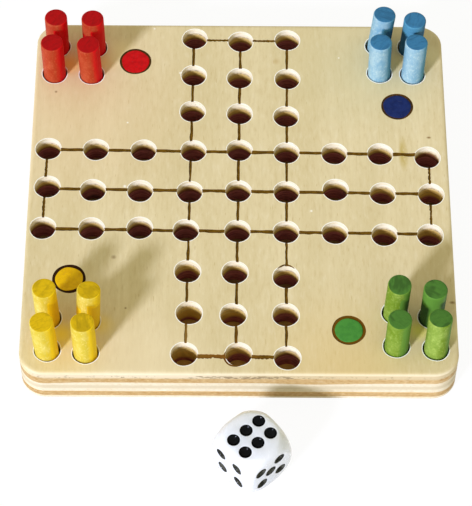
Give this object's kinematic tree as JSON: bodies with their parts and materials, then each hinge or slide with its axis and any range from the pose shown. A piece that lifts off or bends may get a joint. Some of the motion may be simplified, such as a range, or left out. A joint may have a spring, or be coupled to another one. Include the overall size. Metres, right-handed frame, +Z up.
{
  "type": "ludo board",
  "caption": "Square plywood ludo board drilled with a cross of peg holes, with stained dowel pegs standing loose in its corner holes and a rounded die beside it.",
  "frame": {"origin": "middle of the board's underside, on the table", "axes": "+Z up out of the playing face, +Y to the far side, so the die lies toward -Y"},
  "size_m": [0.118, 0.1488, 0.0276],
  "materials": {
    "pale_veneer": "sanded, bare",
    "brown_veneer": "sawn edge, bare",
    "red_stain": "stained",
    "blue_stain": "stained",
    "yellow_stain": "stained",
    "green_stain": "stained",
    "die_plastic": "polished, black pips"
  },
  "bodies": {
    "board": {"back_ply": "pale_veneer", "lower_crossband": "brown_veneer", "core_ply": "pale_veneer", "upper_crossband": "brown_veneer", "face_ply": "pale_veneer"},
    "red_peg_front_left": {"red_peg_front_left": "red_stain"},
    "red_peg_front_right": {"red_peg_front_right": "red_stain"},
    "red_peg_rear_left": {"red_peg_rear_left": "red_stain"},
    "red_peg_rear_right": {"red_peg_rear_right": "red_stain"},
    "blue_peg_front_left": {"blue_peg_front_left": "blue_stain"},
    "blue_peg_front_right": {"blue_peg_front_right": "blue_stain"},
    "blue_peg_rear_left": {"blue_peg_rear_left": "blue_stain"},
    "blue_peg_rear_right": {"blue_peg_rear_right": "blue_stain"},
    "yellow_peg_front_left": {"yellow_peg_front_left": "yellow_stain"},
    "yellow_peg_front_right": {"yellow_peg_front_right": "yellow_stain"},
    "yellow_peg_rear_left": {"yellow_peg_rear_left": "yellow_stain"},
    "yellow_peg_rear_right": {"yellow_peg_rear_right": "yellow_stain"},
    "green_peg_front_left": {"green_peg_front_left": "green_stain"},
    "green_peg_front_right": {"green_peg_front_right": "green_stain"},
    "green_peg_rear_left": {"green_peg_rear_left": "green_stain"},
    "green_peg_rear_right": {"green_peg_rear_right": "green_stain"},
    "die": {"die": "die_plastic"}
  },
  "joints": [
    {"name": "red_peg_front_left_lift", "type": "slide", "parent": "board", "child": "red_peg_front_left", "axis": [-0.0036, 0.0073, 1], "range_m": [0, 0.011]},
    {"name": "red_peg_front_right_lift", "type": "slide", "parent": "board", "child": "red_peg_front_right", "axis": [-0.0254, -0.0145, 0.9996], "range_m": [0, 0.011]},
    {"name": "red_peg_rear_left_lift", "type": "slide", "parent": "board", "child": "red_peg_rear_left", "axis": [0.0073, -0.0218, 0.9997], "range_m": [0, 0.011]},
    {"name": "red_peg_rear_right_lift", "type": "slide", "parent": "board", "child": "red_peg_rear_right", "axis": [-0.0036, -0.0218, 0.9998], "range_m": [0, 0.011]},
    {"name": "blue_peg_front_left_lift", "type": "slide", "parent": "board", "child": "blue_peg_front_left", "axis": [-0.0218, 0.0073, 0.9997], "range_m": [0, 0.011]},
    {"name": "blue_peg_front_right_lift", "type": "slide", "parent": "board", "child": "blue_peg_front_right", "axis": [0.0145, 0.0363, 0.9992], "range_m": [0, 0.011]},
    {"name": "blue_peg_rear_left_lift", "type": "slide", "parent": "board", "child": "blue_peg_rear_left", "axis": [0.0653, 0.0145, 0.9978], "range_m": [0, 0.011]},
    {"name": "blue_peg_rear_right_lift", "type": "slide", "parent": "board", "child": "blue_peg_rear_right", "axis": [0.0254, -0.0653, 0.9975], "range_m": [0, 0.011]},
    {"name": "yellow_peg_front_left_lift", "type": "slide", "parent": "board", "child": "yellow_peg_front_left", "axis": [-0.04, 0.0036, 0.9992], "range_m": [0, 0.011]},
    {"name": "yellow_peg_front_right_lift", "type": "slide", "parent": "board", "child": "yellow_peg_front_right", "axis": [-0.0145, 0.0363, 0.9992], "range_m": [0, 0.011]},
    {"name": "yellow_peg_rear_left_lift", "type": "slide", "parent": "board", "child": "yellow_peg_rear_left", "axis": [-0.0218, 0.0291, 0.9993], "range_m": [0, 0.011]},
    {"name": "yellow_peg_rear_right_lift", "type": "slide", "parent": "board", "child": "yellow_peg_rear_right", "axis": [0.0544, 0.0435, 0.9976], "range_m": [0, 0.011]},
    {"name": "green_peg_front_left_lift", "type": "slide", "parent": "board", "child": "green_peg_front_left", "axis": [0.0036, -0.0145, 0.9999], "range_m": [0, 0.011]},
    {"name": "green_peg_front_right_lift", "type": "slide", "parent": "board", "child": "green_peg_front_right", "axis": [0.0109, 0.0508, 0.9986], "range_m": [0, 0.011]},
    {"name": "green_peg_rear_left_lift", "type": "slide", "parent": "board", "child": "green_peg_rear_left", "axis": [0.0218, 0.0073, 0.9997], "range_m": [0, 0.011]},
    {"name": "green_peg_rear_right_lift", "type": "slide", "parent": "board", "child": "green_peg_rear_right", "axis": [0.0073, 0, 1], "range_m": [0, 0.011]},
    {"name": "die_lift", "type": "slide", "parent": "board", "child": "die", "axis": [0, 0, 1], "range_m": [0, 0.03]}
  ]
}
